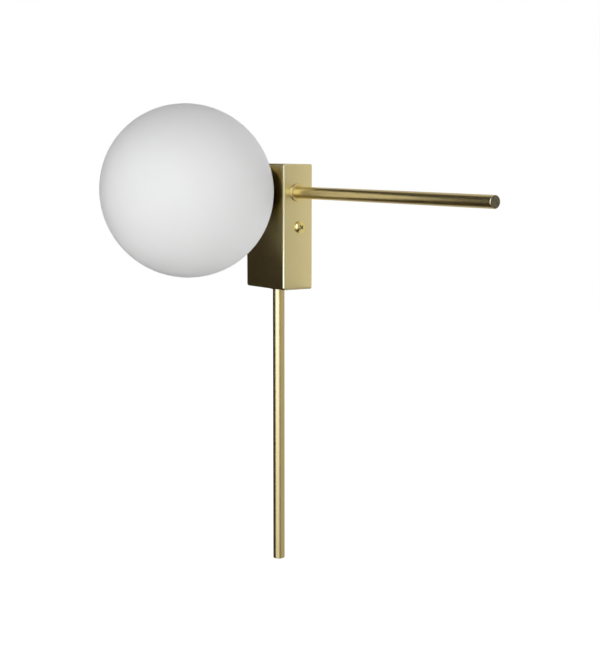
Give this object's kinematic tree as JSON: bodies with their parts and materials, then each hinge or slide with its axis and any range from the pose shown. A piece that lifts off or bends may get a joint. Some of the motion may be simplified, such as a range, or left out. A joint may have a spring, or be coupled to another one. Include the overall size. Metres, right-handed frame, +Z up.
{
  "type": "globe wall sconce",
  "caption": "Brass box wall light with an opal glass globe in front, and a plain round rod out of its side and its bottom.",
  "frame": {"origin": "on the wall plane, midway between the bracket's two wall screws, which is also the middle of the box", "axes": "+Y into the wall, so the globe stands towards -Y; +X along the wall, the way the level rod points; +Z up"},
  "size_m": [0.338, 0.1745, 0.3925],
  "materials": {
    "satin_brass": "fine satin, brushed along each piece",
    "polished_brass": "polished",
    "opal_glass": "matt opal white, not see-through",
    "zinc_steel": "zinc plated",
    "dark_steel": "black oxide",
    "block_plastic": "natural polyamide",
    "bush_plastic": "matt black",
    "terminal_brass": "machined",
    "seal_rubber": "translucent silicone",
    "lamp_ceramic": "half matt white",
    "contact_nickel": "nickel plated",
    "live_insulation": "brown",
    "neutral_insulation": "blue",
    "earth_insulation": "green with a yellow stripe",
    "bulb_frost": "frosted",
    "bulb_ceramic": "matt white",
    "light_chips": "phosphor coated chips on a white board"
  },
  "bodies": {
    "fixture": {"wall_bracket": "zinc_steel", "bracket_nuts": "zinc_steel", "cable_bush": "bush_plastic", "terminal_block": "block_plastic", "terminal_tubes": "terminal_brass", "terminal_screws": "zinc_steel", "terminal_block_screw": "zinc_steel", "earth_tag": "contact_nickel", "earth_screw": "terminal_brass", "live_lead": "live_insulation", "neutral_lead": "neutral_insulation", "earth_lead": "earth_insulation", "canopy": "satin_brass", "canopy_screws": "polished_brass", "horizontal_rod": "satin_brass", "horizontal_collar": "satin_brass", "vertical_rod": "satin_brass", "vertical_collar": "satin_brass", "rod_fixing_screws": "dark_steel", "rod_spring_washers": "zinc_steel", "stem_tube": "zinc_steel", "stem_nuts": "zinc_steel", "stem_washer": "zinc_steel", "stem_spacer": "satin_brass", "globe_holder": "satin_brass", "lamp_holder_bridge": "zinc_steel", "lamp_holder": "lamp_ceramic", "lamp_holder_contacts": "contact_nickel", "lamp_holder_screws": "zinc_steel"},
    "seal": {"globe_seal": "seal_rubber"},
    "globe": {"globe": "opal_glass"},
    "bulb": {"bulb_base": "bulb_ceramic", "bulb_pins": "contact_nickel", "bulb_core": "light_chips", "bulb_envelope": "bulb_frost"}
  },
  "joints": [
    {"name": "globe_unscrew", "type": "hinge", "parent": "fixture", "child": "seal", "pos_m": [0, -0.049, 0.03], "axis": [0, -1, 0], "range_deg": [0, 540]},
    {"name": "globe_lift_off", "type": "slide", "parent": "seal", "child": "globe", "axis": [0, -1, 0], "range_m": [0, 0.1]},
    {"name": "bulb_pull_out", "type": "slide", "parent": "fixture", "child": "bulb", "axis": [0, -1, 0], "range_m": [0, 0.018]}
  ]
}
